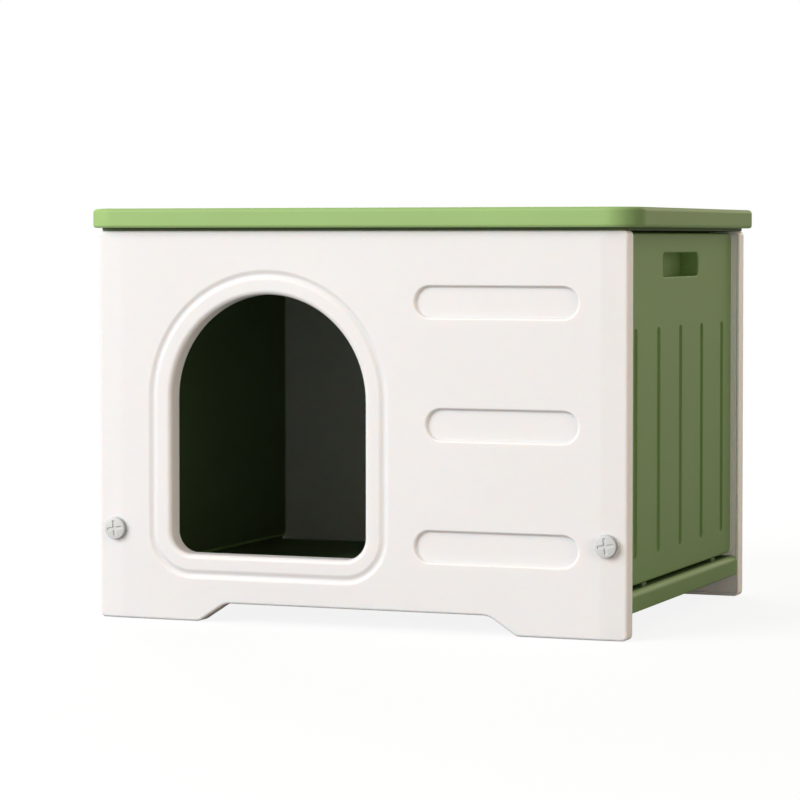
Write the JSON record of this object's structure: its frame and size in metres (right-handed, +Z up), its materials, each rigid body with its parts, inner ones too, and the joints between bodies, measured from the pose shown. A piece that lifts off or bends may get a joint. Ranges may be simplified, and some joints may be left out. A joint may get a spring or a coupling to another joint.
{
  "type": "pet house",
  "caption": "Knock-down plastic pet house with an arched doorway, finger slots in its sides, a raised floor and a flat roof that lifts off.",
  "frame": {"origin": "on the ground under the middle of the house", "axes": "front panel faces -Y, width along X, +Z up"},
  "size_m": [0.585, 0.45, 0.415],
  "materials": {
    "white_plastic": "fine satin texture",
    "green_plastic": "fine satin texture",
    "grey_plastic": "satin",
    "washer_plastic": "satin",
    "socket_plastic": "satin"
  },
  "bodies": {
    "house": {"front_shell": "white_plastic", "front_liner": "white_plastic", "rear_shell": "white_plastic", "rear_liner": "white_plastic", "left_shell": "green_plastic", "left_liner": "green_plastic", "right_shell": "green_plastic", "right_liner": "green_plastic", "floor_tray": "green_plastic", "threaded_sockets": "socket_plastic"},
    "roof": {"roof_cover": "green_plastic", "roof_liner": "green_plastic"},
    "front_left_washer": {"front_left_washer": "washer_plastic"},
    "front_left_screw": {"front_left_screw": "grey_plastic"},
    "front_right_washer": {"front_right_washer": "washer_plastic"},
    "front_right_screw": {"front_right_screw": "grey_plastic"},
    "rear_left_washer": {"rear_left_washer": "washer_plastic"},
    "rear_left_screw": {"rear_left_screw": "grey_plastic"},
    "rear_right_washer": {"rear_right_washer": "washer_plastic"},
    "rear_right_screw": {"rear_right_screw": "grey_plastic"}
  },
  "joints": [
    {"name": "roof_lift", "type": "slide", "parent": "house", "child": "roof", "axis": [0, 0, 1], "range_m": [0, 0.16]},
    {"name": "front_left_draw", "type": "slide", "parent": "house", "child": "front_left_washer", "axis": [0, -1, 0], "range_m": [0, 0.048]},
    {"name": "front_left_turn", "type": "hinge", "parent": "front_left_washer", "child": "front_left_screw", "pos_m": [-0.26025, -0.215, 0.091], "axis": [0, -1, 0], "range_deg": [0, 2880]},
    {"name": "front_right_draw", "type": "slide", "parent": "house", "child": "front_right_washer", "axis": [0, -1, 0], "range_m": [0, 0.048]},
    {"name": "front_right_turn", "type": "hinge", "parent": "front_right_washer", "child": "front_right_screw", "pos_m": [0.26025, -0.215, 0.091], "axis": [0, -1, 0], "range_deg": [0, 2880]},
    {"name": "rear_left_draw", "type": "slide", "parent": "house", "child": "rear_left_washer", "axis": [0, 1, 0], "range_m": [0, 0.048]},
    {"name": "rear_left_turn", "type": "hinge", "parent": "rear_left_washer", "child": "rear_left_screw", "pos_m": [-0.26025, 0.215, 0.091], "axis": [0, 1, 0], "range_deg": [0, 2880]},
    {"name": "rear_right_draw", "type": "slide", "parent": "house", "child": "rear_right_washer", "axis": [0, 1, 0], "range_m": [0, 0.048]},
    {"name": "rear_right_turn", "type": "hinge", "parent": "rear_right_washer", "child": "rear_right_screw", "pos_m": [0.26025, 0.215, 0.091], "axis": [0, 1, 0], "range_deg": [0, 2880]}
  ],
  "couplings": [
    {"joint": "front_left_turn", "follows": "front_left_draw", "rad_per_m": 1047.2},
    {"joint": "front_right_turn", "follows": "front_right_draw", "rad_per_m": 1047.2},
    {"joint": "rear_left_turn", "follows": "rear_left_draw", "rad_per_m": 1047.2},
    {"joint": "rear_right_turn", "follows": "rear_right_draw", "rad_per_m": 1047.2}
  ]
}
